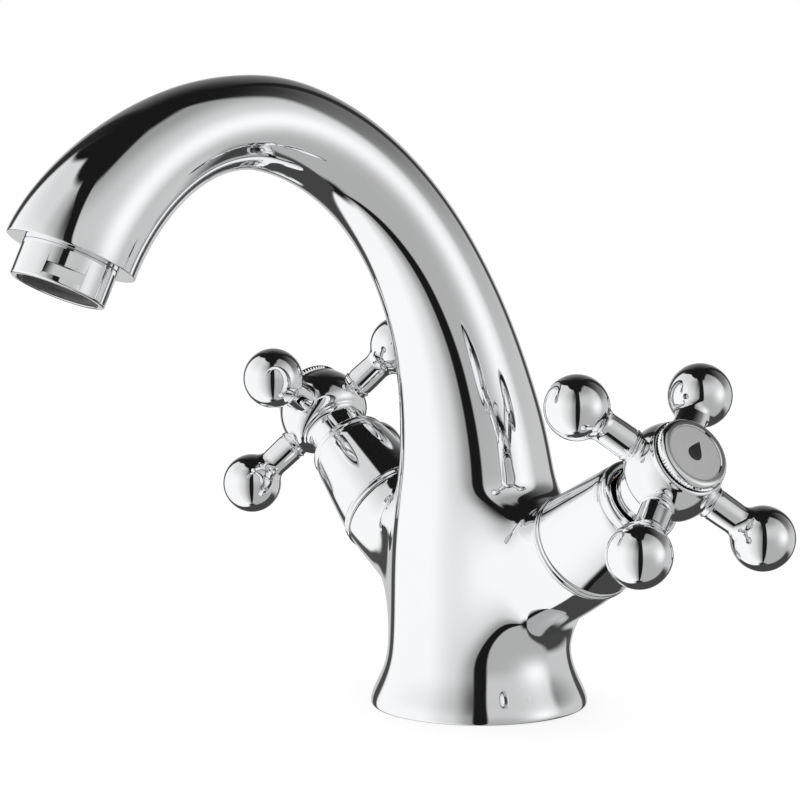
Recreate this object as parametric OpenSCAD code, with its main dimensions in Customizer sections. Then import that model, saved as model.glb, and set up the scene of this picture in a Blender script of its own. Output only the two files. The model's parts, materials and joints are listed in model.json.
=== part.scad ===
// Deck-mounted bathroom mixer tap: one cast body with a swan-neck spout and two
// angled quarter-turn valves, each with a four-ball cross handle.
// +Z is up, the spout points along -Y, the cold valve is on +X and the hot one on -X.
// The origin is the centre of the foot, on the underside. Lengths are in millimetres.

/* [Body] */
// Radius of the foot
foot_r = 26.5; // [24:0.5:32]
// Rounding of the foot's lower edge
foot_edge_r = 1.6; // [0.5:0.1:2.5]
// Height at which the foot's flare ends
waist_z = 14.5; // [11:0.5:18]
// Radius of the waist above the flare
waist_r = 22.2; // [20:0.2:23.4]
// Height at which the torso hands over to the column
torso_top_z = 38; // [34:1:42]

/* [Spout] */
// Radius of the column where it leaves the torso
column_r = 22.3; // [20:0.2:24]
// How far in front of the foot's centre the arch is highest
apex_reach = 68.5; // [55:0.5:90]
// Height of the tube's centre at the top of the arch
apex_z = 143.2; // [125:0.2:180]
// Radius of the tube at the top of the arch
apex_r = 10.7; // [9.5:0.1:13]
// How far in front of the foot's centre the outlet rim is
outlet_reach = 114.7; // [100:0.1:145]
// Height of the centre of the outlet rim
outlet_z = 114.7; // [100:0.1:140]
// Radius of the outlet rim
outlet_r = 15.05; // [13.6:0.05:17]
// How far the outlet leans forward from straight down, in degrees
outlet_tilt = 25.5; // [10:0.5:40]
// Radius of the water passage inside the spout
passage_r = 8.2; // [5:0.1:9]
// How strongly the column rises before it leans over
column_pull = 77; // [60:1:95]
// How flat the arch is behind its top
apex_pull_back = 25.8; // [15:0.2:35]
// How flat the arch is in front of its top
apex_pull_front = 24.1; // [15:0.1:30]
// How straight the spout runs into the outlet
outlet_pull = 9.9; // [6:0.1:16]
// Sides of the swept tube
spout_sides = 24; // [16:2:32]
// Rings of the swept tube in each half of the arch
spout_rings = 15; // [8:1:20]

/* [Valve arms] */
// Height at which the two valve axes cross
pivot_z = 17.5; // [16:0.5:20]
// How far the valve axes stand behind the foot's centre
valve_back = 1.9; // [0:0.1:3]
// Rise of each valve axis above the horizontal, in degrees
valve_tilt = 35; // [30:1:42]
// Length of a cast arm, from the crossing point to its end face
arm_len = 44.4; // [43:0.2:56]
// Radius of a cast arm at the crossing point
arm_root_r = 12.5; // [12:0.1:14]
// Radius of a cast arm at its end face
arm_end_r = 13.4; // [12.8:0.1:16]

/* [Waterways] */
// Radius of the tapped hose inlets
inlet_r = 4.5; // [4:0.1:4.8]
// Distance of each hose inlet from the middle plane
inlet_x = 8; // [7.6:0.1:9]
// Depth of the tapped length of a hose inlet
inlet_depth = 12; // [8:0.5:14]
// Radius of the drilling from an inlet to its valve seat
feed_r = 3.4; // [2.5:0.1:3.8]
// Radius of the cross drilling that mixes the two flows
mix_r = 3.2; // [2:0.1:3.6]
// Height of the cross drilling
mix_z = 41; // [40:0.2:43]
// Radius of the riser from the cross drilling into the spout
riser_r = 6.5; // [4:0.1:8]
// Radius of the tapped hole for the fixing stud
stud_hole_r = 3.4; // [2.5:0.1:4.2]
// Depth of the tapped hole for the fixing stud
stud_hole_depth = 14; // [8:0.5:18]
// Distance of the fixing stud behind the foot's centre
stud_y = 13; // [12:0.5:15]

/* [Base gasket] */
// Inner radius of the gasket under the foot
gasket_in_r = 19.4; // [18.6:0.2:21]
// Outer radius of the gasket under the foot
gasket_out_r = 23.4; // [22:0.2:24]
// Thickness of the gasket under the foot
gasket_t = 2; // [1.5:0.1:3]

/* [Valve cartridge] */
// Depth of the valve pocket in the arm
pocket_depth = 20; // [19:0.2:25]
// Radius of the lower part of the pocket
pocket_r = 9.6; // [9.4:0.1:10]
// Radius of the tapped mouth of the pocket
pocket_thread_r = 10.55; // [10.3:0.05:10.9]
// Length of the tapped mouth of the pocket
pocket_thread_len = 7; // [6:0.2:11]
// Radius of the two ceramic discs
disc_r = 7.6; // [7:0.1:7.8]
// Thickness of each ceramic disc
disc_t = 3; // [2:0.1:3.4]
// Thickness of the rubber seat seal
seal_t = 2.5; // [2:0.1:3]
// Radius of the spindle shaft
shaft_r = 4.5; // [4:0.1:5]
// Width of the cartridge hexagon across its flats
hex_af = 17; // [15:0.5:18]
// Radius of the cartridge neck that carries the bonnet
neck_r = 7.6; // [7:0.1:7.8]
// Length of the cartridge above the arm's end face
cartridge_rise = 18; // [16:0.2:20]

/* [Bonnet] */
// Height of the bonnet along the valve axis
bonnet_h = 24; // [22:0.1:28]
// Radius of the bonnet at its base
bonnet_base_r = 13.8; // [13.6:0.1:16]
// Radius of the bonnet at its outer end
bonnet_top_r = 10.5; // [10:0.1:13]
// Rounding of the bonnet's outer end
bonnet_edge_r = 0.9; // [0.4:0.1:1.2]
// Radius of the well that the handle's neck stands in
well_r = 8.2; // [7.8:0.1:8.6]
// Depth of that well
well_depth = 7; // [5:0.1:7.2]

/* [Handle] */
// Distance of the ball plane from the crossing point of the axes
handle_reach = 81.4; // [80.5:0.2:95]
// Radius of the hub at its widest
hub_r = 11.4; // [10.5:0.1:13]
// Length of the hub below the ball plane
hub_below = 5.1; // [4.8:0.1:7]
// Length of the hub above the ball plane
hub_above = 7.7; // [7.4:0.1:9]
// Radius of the curve of the hub's barrel
hub_bulge_r = 12; // [10:0.5:20]
// Radius of the hub's neck
hub_neck_r = 6.8; // [6.4:0.1:7.2]
// Distance of the ball centres from the handle's axis
ball_ring_r = 26.5; // [24:0.5:34]
// Radius of each ball
ball_r = 7.6; // [6:0.1:9]
// Radius of each rod
rod_r = 3.7; // [3:0.1:4.2]
// Radius of the fillet between rod and ball
rod_fillet_r = 3; // [1:0.5:5]
// Turn of the cold handle about its axis at rest, in degrees
cold_turn = 45; // [0:1:89]
// Turn of the hot handle about its axis at rest, in degrees
hot_turn = 33; // [0:1:89]

/* [Handle cap] */
// Radius of the knurled cap
cap_r = 9; // [8.6:0.1:10]
// Height of the knurled cap above the hub
cap_h = 2.5; // [2:0.1:4]
// Teeth around the knurled cap
cap_teeth = 72; // [40:4:90]
// Radius of the plain disc let into the cap
index_r = 7.2; // [6:0.1:7.6]
// Thickness of that disc
index_t = 0.8; // [0.5:0.1:1.2]

/* [Aerator] */
// Radius of the aerator's collar
collar_r = 11; // [10.6:0.1:12.5]
// Length of the collar below the outlet rim
collar_len = 8.3; // [7:0.1:11]
// Radius of the aerator's thread in the outlet
aerator_thread_r = 10; // [9.6:0.1:10.4]
// Length of that thread
aerator_thread_len = 6.2; // [5:0.1:8]
// Height of the two wrench flats on the collar
flat_h = 4; // [2:0.1:5]
// Depth of the wrench flats
flat_depth = 1.1; // [0.5:0.1:1.4]
// Direction of the wrench flats about the outlet's axis, in degrees
flat_turn = 40; // [0:1:89]
// Thickness of the sealing washer above the thread
washer_t = 1.5; // [1:0.1:2]
// Rings of holes in the aerator's screen
screen_rings = 4; // [2:1:5]

/* [Fits] */
// Radial clearance of threads and of pieces that are fixed
fixed_gap = 0.05; // [0.02:0.01:0.1]
// Radial clearance of pieces that turn
running_gap = 0.05; // [0.03:0.01:0.1]
// Clearance between the two ceramic faces
ceramic_gap = 0.02; // [0.01:0.01:0.05]
// Clearance between faces that pass each other
face_gap = 0.1; // [0.05:0.05:0.3]

/* [Hidden] */

$fn = 64;
eps = 0.01;
hot = -1;
cold = 1;

chrome = [0.80, 0.81, 0.83];
brass = [0.78, 0.62, 0.32];
rubber = [0.10, 0.10, 0.11];
ceramic = [0.90, 0.88, 0.84];
steel = [0.62, 0.63, 0.65];
white_plastic = [0.86, 0.86, 0.84];
grey_plastic = [0.14, 0.14, 0.15];

// Distances along a valve axis, counted from the point where the two axes cross
pocket_floor = arm_len - pocket_depth;
pocket_thread_start = arm_len - pocket_thread_len;
fixed_disc_start = pocket_floor + seal_t;
moving_disc_start = fixed_disc_start + disc_t + ceramic_gap;
driver_start = moving_disc_start + disc_t;
driver_t = 3;
driver_r = disc_r - 0.2;
thrust_start = driver_start + driver_t;
thrust_end = pocket_thread_start - face_gap;
flange_t = 2;
flange_r = pocket_thread_r + 0.65;
hex_start = arm_len + flange_t;
hex_h = 6;
hex_end = hex_start + hex_h;
hex_corner_r = hex_af / 2 / cos(30);
cartridge_end = arm_len + cartridge_rise;
bonnet_end = arm_len + bonnet_h;
well_floor = bonnet_end - well_depth;
bonnet_wall = 1.5;
web_start = max(hex_end, well_floor - 5) + 0.5;
circlip_start = cartridge_end + face_gap;
circlip_t = 0.8;
spline_start = circlip_start + circlip_t + 0.3;
hub_neck_start = spline_start + 0.3;
hub_bottom = handle_reach - hub_below;
hub_top = handle_reach + hub_above;
spindle_end = handle_reach + 0.6;
screw_web_start = spindle_end + 0.2;
screw_web_t = 2;
screw_seat = screw_web_start + screw_web_t;
screw_head_h = 2.3;
screw_head_r = 3.7;
screw_r = 1.95;
screw_len = 12;
spline_r = 4;
spline_teeth = 20;
cap_socket_r = 6.6;

// Fits that follow from the sizes above
barrel_bore_r = disc_r + 2 * running_gap;
barrel_r = barrel_bore_r + 1.1;
barrel_foot_r = pocket_r - 2 * fixed_gap;
barrel_foot_h = 3.6;
cartridge_thread_r = pocket_thread_r - fixed_gap;
spindle_bore_r = shaft_r + running_gap;
web_bore_r = neck_r + fixed_gap;
spline_bore_r = spline_r + fixed_gap;
tapped_r = screw_r + fixed_gap;

// O-ring sections, and the grooves that hold them
o_ring_r = 0.6;
o_ring_groove_r = shaft_r - 2 * o_ring_r;
o_ring_places = [arm_len - 4, arm_len + 1];
circlip_groove_r = spline_r - 0.3;
flange_ring_r = 0.6;
flange_ring_groove_r = cartridge_thread_r - 2 * flange_ring_r;

// Rod ends in the hub
stub_r = 2.4;
stub_start = 6;
rod_start = 9;

// Aerator, counted outwards along the outlet's axis from the rim
mouth_r = aerator_thread_r + fixed_gap;
mouth_depth = aerator_thread_len + washer_t;
housing_bore_r = aerator_thread_r - 1.1;
housing_lip_t = 0.9;
insert_r = housing_bore_r - fixed_gap;
insert_bore_r = insert_r - 1.2;
screen_t = 0.7;
screen_top = -aerator_thread_len + 0.5;
insert_top = screen_top + screen_t;
insert_end = collar_len - housing_lip_t;
grille_t = 1.2;
grille_top = insert_end - 3;
grille_rib = 0.7;
grille_spokes = 6;
screen_hole_r = 0.55;
screen_pitch = 1.75;

// ---- Helpers ----

// A point of a cubic curve through a and d, pulled towards b and c
function curve(a, b, c, d, t) =
  (1 - t) * (1 - t) * (1 - t) * a + 3 * (1 - t) * (1 - t) * t * b
  + 3 * (1 - t) * t * t * c + t * t * t * d;

// The direction of the same curve
function curve_dir(a, b, c, d, t) =
  (1 - t) * (1 - t) * (b - a) + 2 * (1 - t) * t * (c - b) + t * t * (d - c);

function unit(v) = v / norm(v);

// Points of a circular arc about a centre, from one angle to another, in n steps
function arc(centre, r, from, to, n) =
  [for (i = [0:n]) centre + r * [cos(from + (to - from) * i / n), sin(from + (to - from) * i / n)]];

// The spout's centreline is two curves that meet at the top of the arch, as [y, z]
out_dir = [-sin(outlet_tilt), -cos(outlet_tilt)];
root_point = [0, torso_top_z];
root_pull = [0, torso_top_z + column_pull];
apex_back = [-apex_reach + apex_pull_back, apex_z];
apex_point = [-apex_reach, apex_z];
apex_front = [-apex_reach - apex_pull_front, apex_z];
rim_point = [-outlet_reach, outlet_z];
rim_pull = rim_point - outlet_pull * out_dir;

// s runs from 0 at the torso to 1 at the top of the arch and 2 at the rim
function spout_point(s) = s <= 1
  ? curve(root_point, root_pull, apex_back, apex_point, s)
  : curve(apex_point, apex_front, rim_pull, rim_point, s - 1);

function spout_dir(s) = s <= 1
  ? unit(curve_dir(root_point, root_pull, apex_back, apex_point, s))
  : unit(curve_dir(apex_point, apex_front, rim_pull, rim_point, s - 1));

// The tube narrows to the top of the arch and swells again to the rim
column_swell = -13.4;
apex_swell = 1.6;
function spout_r(s) = s <= 1
  ? curve(column_r, column_r + column_swell, apex_r + apex_swell, apex_r, s)
  : curve(apex_r, apex_r, outlet_r, outlet_r, s - 1);

// One ring of the swept tube, square to the centreline
function ring(p, d, r, n) =
  [for (k = [0:n - 1])
    [r * sin(360 * k / n), p[0] - r * cos(360 * k / n) * d[1], p[1] + r * cos(360 * k / n) * d[0]]];

// A closed tube through a list of rings, each with n points
module skin(rings, n) {
  last = len(rings) - 1;
  points = [for (one = rings) for (p = one) p];
  sides = [for (i = [0:last - 1]) for (k = [0:n - 1])
    let (a = i * n + k, b = i * n + (k + 1) % n)
    for (face = [[a, a + n, b], [b, a + n, b + n]]) face];
  start_cap = [[for (k = [0:n - 1]) k]];
  end_cap = [[for (k = [n - 1:-1:0]) last * n + k]];
  polyhedron(points, concat(start_cap, sides, end_cap), convexity = 6);
}

// The frame of one valve: +Z runs out along its axis, from the crossing point
module valve_frame(side) {
  translate([0, valve_back, pivot_z])
    rotate([0, side * (90 - valve_tilt), 0])
      children();
}

// The frame of the outlet: +Z runs out of the spout, from the centre of the rim
module outlet_frame() {
  translate([0, -outlet_reach, outlet_z])
    rotate([180 - outlet_tilt, 0, 0])
      children();
}

// The frame of one handle arm: +Z runs outwards along the rod, from the handle's axis
module arm_frame(turn, number) {
  translate([0, 0, handle_reach])
    rotate([0, 0, turn + 90 * (number - 1)])
      rotate([0, 90, 0])
        children();
}

// A plain tube between two heights
module tube(r_out, r_in, from, to) {
  translate([0, 0, from])
    difference() {
      cylinder(r = r_out, h = to - from);
      translate([0, 0, -eps])
        cylinder(r = r_in, h = to - from + 2 * eps);
    }
}

// A solid rod between two heights
module rod(r, from, to) {
  translate([0, 0, from])
    cylinder(r = r, h = to - from);
}

// ---- Body ----

// The foot and torso, turned about the vertical axis
module torso() {
  flare_steps = 8;
  flare = [for (i = [1:flare_steps])
    curve([foot_r - 0.2, foot_edge_r], [foot_r - 0.8, waist_z * 0.32],
          [waist_r, waist_z * 0.65], [waist_r, waist_z], i / flare_steps)];
  edge = arc([foot_r - 0.2 - foot_edge_r, foot_edge_r], foot_edge_r, -90, 0, 4);
  shoulder = [[waist_r - 0.2, torso_top_z], [waist_r - 5, torso_top_z + 6], [0, torso_top_z + 6]];
  rotate_extrude()
    polygon(concat([[0, 0]], edge, flare, shoulder));
}

// The column and swan neck, swept along the spout's centreline
module spout_skin() {
  inside_rings = [
    ring([0, torso_top_z - 10], [0, 1], column_r - 3.5, spout_sides),
    ring([0, torso_top_z - 3], [0, 1], column_r - 0.9, spout_sides)
  ];
  tube_rings = [for (i = [1:2 * spout_rings])
    let (s = i / spout_rings)
    ring(spout_point(s), spout_dir(s), spout_r(s), spout_sides)];
  skin(concat(inside_rings, tube_rings), spout_sides);
}

// The water passage inside the spout, from the riser to the aerator's mouth
module spout_passage() {
  passage_sides = 16;
  first = 0.06;
  last = 1.9;
  steps = spout_rings + 9;
  skin([for (i = [0:steps])
    let (s = first + (last - first) * i / steps)
    ring(spout_point(s), spout_dir(s), passage_r, passage_sides)], passage_sides);
}

// The cast arm that carries one valve
module valve_arm() {
  cylinder(r1 = arm_root_r, r2 = arm_end_r, h = arm_len);
}

// The pocket, seat drilling and tapped mouth of one valve
module valve_pocket() {
  feed_start = 9;
  rod(feed_r, feed_start, pocket_floor + eps);
  rod(pocket_r, pocket_floor, arm_len + eps);
  rod(pocket_thread_r, pocket_thread_start, arm_len + 1);
}

// One hose inlet: a tapped length and a smaller drilling up to the seat drilling
module inlet(side) {
  feed_top = pivot_z + inlet_x * tan(valve_tilt) + 1;
  translate([side * inlet_x, valve_back, 0]) {
    rod(inlet_r, -1, inlet_depth);
    rod(feed_r, inlet_depth - eps, feed_top);
  }
}

module body() {
  mix_half = 20;
  color(chrome)
    difference() {
      union() {
        torso();
        spout_skin();
        for (side = [hot, cold])
          valve_frame(side) valve_arm();
      }
      spout_passage();
      rod(riser_r, mix_z - mix_r, spout_point(0.1)[1]);
      translate([-mix_half, valve_back, mix_z])
        rotate([0, 90, 0])
          cylinder(r = mix_r, h = 2 * mix_half);
      for (side = [hot, cold]) {
        valve_frame(side) valve_pocket();
        inlet(side);
      }
      translate([0, stud_y, 0]) rod(stud_hole_r, -1, stud_hole_depth);
      outlet_frame() rod(mouth_r, -mouth_depth, 1);
      tube(gasket_out_r + fixed_gap, gasket_in_r - fixed_gap, -1, gasket_t);
    }
}

module base_gasket() {
  color(rubber)
    tube(gasket_out_r, gasket_in_r, 0, gasket_t);
}

// ---- Aerator ----

module aerator_washer() {
  color(rubber)
    tube(aerator_thread_r - fixed_gap, aerator_thread_r - 2.4, -mouth_depth, -aerator_thread_len);
}

module aerator_housing() {
  edge = 0.5;
  color(chrome)
    difference() {
      union() {
        rod(aerator_thread_r, -aerator_thread_len, eps);
        rod(collar_r, 0, collar_len - edge);
        translate([0, 0, collar_len - edge])
          cylinder(r1 = collar_r, r2 = collar_r - edge, h = edge);
      }
      rod(housing_bore_r, -aerator_thread_len - 1, insert_end);
      rod(housing_bore_r - 0.8, -1, collar_len + 1);
      for (half = [0, 180])
        rotate([0, 0, flat_turn + half])
          translate([collar_r - flat_depth, -collar_r, collar_len - flat_h])
            cube([2 * flat_depth, 2 * collar_r, flat_h + 1]);
    }
}

// The plastic flow straightener, with a ribbed grille at its lower end
module aerator_insert() {
  color(grey_plastic) {
    tube(insert_r, insert_bore_r, insert_top, insert_end);
    for (r = [insert_bore_r * 0.36, insert_bore_r * 0.7])
      tube(r + grille_rib / 2, r - grille_rib / 2, grille_top, grille_top + grille_t);
    rod(grille_rib, grille_top, grille_top + grille_t);
    for (k = [0:grille_spokes - 1])
      rotate([0, 0, k * 360 / grille_spokes])
        translate([0, -grille_rib / 2, grille_top])
          cube([insert_bore_r + 0.3, grille_rib, grille_t]);
  }
}

// The round screen that catches grit above the insert
module aerator_screen() {
  color(steel)
    difference() {
      rod(insert_r, screen_top, insert_top);
      rod(screen_hole_r, screen_top - 1, insert_top + 1);
      for (ring_no = [1:screen_rings])
        for (k = [0:6 * ring_no - 1])
          rotate([0, 0, k * 60 / ring_no])
            translate([ring_no * screen_pitch, 0, 0])
              rod(screen_hole_r, screen_top - 1, insert_top + 1);
    }
}

// ---- Valve, fixed pieces ----

module seat_seal() {
  color(rubber)
    tube(disc_r, feed_r + 1, pocket_floor, fixed_disc_start);
}

// A ceramic disc with two ports a quarter turn wide, opposite each other
module ported_disc(from, port_turn) {
  port_in_r = 2;
  port_out_r = disc_r - 1.8;
  difference() {
    rod(disc_r, from, from + disc_t);
    for (half = [0, 180])
      rotate([0, 0, port_turn + half])
        intersection() {
          tube(port_out_r, port_in_r, from - 1, from + disc_t + 1);
          rotate([0, 0, 45])
            translate([0, 0, from - 1])
              cube([disc_r, disc_r, disc_t + 2]);
        }
  }
}

module fixed_disc() {
  color(ceramic)
    ported_disc(fixed_disc_start, 0);
}

module cartridge() {
  window_start = moving_disc_start + 0.6;
  window_h = 4;
  window_w = 8;
  barrel_start = pocket_floor + 0.5;
  color(brass)
    difference() {
      union() {
        rod(barrel_r, barrel_start, pocket_thread_start + 1);
        rod(barrel_foot_r, barrel_start, barrel_start + barrel_foot_h);
        rod(cartridge_thread_r, pocket_thread_start + 0.3, arm_len + eps);
        rod(flange_r, arm_len, hex_start);
        translate([0, 0, hex_start])
          cylinder(r = hex_corner_r, h = hex_h, $fn = 6);
        rod(neck_r, hex_end - eps, cartridge_end);
      }
      rod(barrel_bore_r, barrel_start - 1, pocket_thread_start);
      rod(spindle_bore_r, pocket_thread_start - 1, cartridge_end + 1);
      translate([-barrel_r - 1, -window_w / 2, window_start])
        cube([2 * barrel_r + 2, window_w, window_h]);
      tube(cartridge_thread_r + 1, flange_ring_groove_r, arm_len - 2 * flange_ring_r, arm_len);
    }
}

module cartridge_o_ring() {
  color(rubber)
    translate([0, 0, arm_len - flange_ring_r])
      rotate_extrude()
        translate([flange_ring_groove_r + flange_ring_r, 0])
          circle(r = flange_ring_r - eps, $fn = 24);
}

module bonnet() {
  base_lip = 0.8;
  inner_base_r = bonnet_base_r - 2;
  inner_top_r = max(hex_corner_r + 0.4, bonnet_top_r - 0.2);
  outline = concat(
    [[inner_base_r, arm_len], [bonnet_base_r - 0.3, arm_len], [bonnet_base_r, arm_len + 0.3],
     [bonnet_base_r, arm_len + base_lip]],
    arc([bonnet_top_r - bonnet_edge_r, bonnet_end - bonnet_edge_r], bonnet_edge_r, 0, 90, 5),
    [[well_r, bonnet_end], [well_r, well_floor], [web_bore_r, well_floor],
     [web_bore_r, web_start], [inner_top_r, web_start]]);
  color(chrome)
    rotate_extrude()
      polygon(outline);
}

// ---- Valve, turning pieces ----

module moving_disc() {
  color(ceramic)
    ported_disc(moving_disc_start, 90);
}

module spindle() {
  spline_top = spindle_end;
  color(brass)
    difference() {
      union() {
        rod(driver_r, driver_start, thrust_start);
        rod(shaft_r, driver_start, spline_start);
        translate([0, 0, spline_start - eps])
          linear_extrude(height = spline_top - spline_start)
            polygon([for (k = [0:2 * spline_teeth - 1])
              let (a = k * 180 / spline_teeth, r = k % 2 == 0 ? spline_r : spline_r - 0.4)
              r * [cos(a), sin(a)]]);
      }
      for (place = o_ring_places)
        tube(shaft_r + 1, o_ring_groove_r, place - o_ring_r, place + o_ring_r);
      tube(shaft_r + 1, circlip_groove_r, circlip_start, circlip_start + circlip_t);
      rod(tapped_r, screw_seat - screw_len - 2, spindle_end + 1);
      translate([0, 0, driver_start - 1])
        cylinder(r = 3.2, h = 3);
    }
}

module spindle_o_rings() {
  color(rubber)
    for (place = o_ring_places)
      translate([0, 0, place])
        rotate_extrude()
          translate([o_ring_groove_r + o_ring_r, 0])
            circle(r = o_ring_r - eps, $fn = 24);
}

module thrust_washer() {
  color(white_plastic)
    tube(driver_r, shaft_r + running_gap, thrust_start, thrust_end);
}

// A snap ring with an open side
module circlip() {
  gap_w = 3.4;
  ring_r = spline_r + 2;
  color(steel)
    difference() {
      tube(ring_r, circlip_groove_r + fixed_gap, circlip_start, circlip_start + circlip_t - fixed_gap);
      translate([0, -gap_w / 2, circlip_start - 1])
        cube([ring_r + 1, gap_w, circlip_t + 2]);
    }
}

module hub() {
  edge = 0.8;
  top_r = cap_r - 0.8;
  bulge_centre = [hub_r - hub_bulge_r, handle_reach + 0.6];
  low = -asin((bulge_centre[1] - hub_bottom - edge) / hub_bulge_r);
  high = asin((hub_top - edge - bulge_centre[1]) / hub_bulge_r);
  barrel = arc(bulge_centre, hub_bulge_r, low, high, 14);
  low_r = barrel[0][0];
  outline = concat(
    [[0, hub_neck_start], [hub_neck_r, hub_neck_start], [hub_neck_r, hub_bottom],
     [low_r - edge, hub_bottom]],
    arc([low_r - edge, hub_bottom + edge], edge, -90, -15, 4),
    barrel,
    [[top_r, hub_top], [0, hub_top]]);
  color(chrome)
    difference() {
      rotate_extrude()
        polygon(outline);
      rod(spline_bore_r, hub_neck_start - 1, screw_web_start);
      rod(screw_r + 0.25, screw_web_start - 1, screw_seat + 1);
      rod(cap_socket_r, screw_seat, hub_top + 1);
      for (number = [1:4])
        arm_frame(0, number) {
          rod(stub_r + fixed_gap, stub_start - 0.2, rod_start + 1);
          rod(rod_r + fixed_gap, rod_start, hub_r + 2);
        }
    }
}

// A turned rod that ends in a ball, with a stub that presses into the hub
module ball_arm() {
  fillet_x = rod_r + rod_fillet_r;
  fillet_y = ball_ring_r - sqrt(pow(ball_r + rod_fillet_r, 2) - pow(fillet_x, 2));
  meet = atan2(ball_ring_r - fillet_y, fillet_x);
  outline = concat(
    [[0, stub_start], [stub_r, stub_start], [stub_r, rod_start], [rod_r, rod_start]],
    arc([fillet_x, fillet_y], rod_fillet_r, 180, 180 - meet, 5),
    arc([0, ball_ring_r], ball_r, -meet + 5, 90, 20));
  color(chrome)
    rotate_extrude()
      polygon(outline);
}

module handle_screw() {
  key_af = 3;
  color(steel)
    difference() {
      union() {
        rod(screw_head_r, screw_seat, screw_seat + screw_head_h);
        rod(screw_r, screw_seat - screw_len, screw_seat + eps);
      }
      translate([0, 0, screw_seat + screw_head_h - 1.4])
        cylinder(r = key_af / 2 / cos(30), h = 2, $fn = 6);
    }
}

// The knurled cap, with a skirt that snaps into the hub
module cap() {
  groove_h = 0.35;
  tooth = 0.25;
  bezel = 0.9;
  skirt_depth = hub_top - screw_seat - screw_head_h - 0.2;
  cap_top = hub_top + cap_h;
  color(chrome)
    difference() {
      union() {
        rod(cap_socket_r - fixed_gap, hub_top - skirt_depth, hub_top + groove_h);
        rod(cap_r - 1, hub_top, hub_top + groove_h + eps);
        translate([0, 0, hub_top + groove_h])
          linear_extrude(height = cap_h - groove_h - bezel)
            polygon([for (k = [0:2 * cap_teeth - 1])
              let (a = k * 180 / cap_teeth, r = k % 2 == 0 ? cap_r : cap_r - tooth)
              r * [cos(a), sin(a)]]);
        translate([0, 0, cap_top - bezel - eps])
          cylinder(r1 = cap_r - tooth, r2 = cap_r - tooth - bezel * 0.7, h = bezel);
      }
      rod(index_r, cap_top - index_t - 0.2, cap_top + 1);
      rod(cap_socket_r - 1.2, hub_top - skirt_depth - 1, cap_top - index_t - 1);
    }
}

module index_disc() {
  seat = hub_top + cap_h - index_t - 0.2;
  color(ceramic)
    rod(index_r - fixed_gap, seat, seat + index_t);
}

// ---- The assembly ----

body();
base_gasket();

outlet_frame() aerator_washer();
outlet_frame() aerator_housing();
outlet_frame() aerator_insert();
outlet_frame() aerator_screen();

valve_frame(hot) seat_seal();  // hot_seat_seal
valve_frame(hot) fixed_disc();  // hot_fixed_disc
valve_frame(hot) cartridge();  // hot_cartridge
valve_frame(hot) cartridge_o_ring();  // hot_cartridge_o_ring
valve_frame(hot) bonnet();  // hot_bonnet
valve_frame(hot) moving_disc();  // hot_moving_disc
valve_frame(hot) spindle();  // hot_spindle
valve_frame(hot) spindle_o_rings();  // hot_spindle_o_rings
valve_frame(hot) thrust_washer();  // hot_thrust_washer
valve_frame(hot) circlip();  // hot_circlip
valve_frame(hot) rotate([0, 0, hot_turn]) hub();  // hot_hub
valve_frame(hot) arm_frame(hot_turn, 1) ball_arm();  // hot_arm_1
valve_frame(hot) arm_frame(hot_turn, 2) ball_arm();  // hot_arm_2
valve_frame(hot) arm_frame(hot_turn, 3) ball_arm();  // hot_arm_3
valve_frame(hot) arm_frame(hot_turn, 4) ball_arm();  // hot_arm_4
valve_frame(hot) handle_screw();  // hot_handle_screw
valve_frame(hot) cap();  // hot_cap
valve_frame(hot) index_disc();  // hot_index_disc

valve_frame(cold) seat_seal();  // cold_seat_seal
valve_frame(cold) fixed_disc();  // cold_fixed_disc
valve_frame(cold) cartridge();  // cold_cartridge
valve_frame(cold) cartridge_o_ring();  // cold_cartridge_o_ring
valve_frame(cold) bonnet();  // cold_bonnet
valve_frame(cold) moving_disc();  // cold_moving_disc
valve_frame(cold) spindle();  // cold_spindle
valve_frame(cold) spindle_o_rings();  // cold_spindle_o_rings
valve_frame(cold) thrust_washer();  // cold_thrust_washer
valve_frame(cold) circlip();  // cold_circlip
valve_frame(cold) rotate([0, 0, cold_turn]) hub();  // cold_hub
valve_frame(cold) arm_frame(cold_turn, 1) ball_arm();  // cold_arm_1
valve_frame(cold) arm_frame(cold_turn, 2) ball_arm();  // cold_arm_2
valve_frame(cold) arm_frame(cold_turn, 3) ball_arm();  // cold_arm_3
valve_frame(cold) arm_frame(cold_turn, 4) ball_arm();  // cold_arm_4
valve_frame(cold) handle_screw();  // cold_handle_screw
valve_frame(cold) cap();  // cold_cap
valve_frame(cold) index_disc();  // cold_index_disc
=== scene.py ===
# %% [markdown]
# # A swan-neck basin mixer in polished chrome
# A deck-mounted mixer tap is one brass casting, plated and polished, that carries two
# quarter-turn valves on short arms and ends in a long curved spout. This notebook dresses
# the working model of that tap: every visible piece is modelled again with fine edges, and
# every hidden piece gets the finish of its real material.

# %% Load the working model
import bpy
import json
import math
from mathutils import Matrix, Vector


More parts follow.
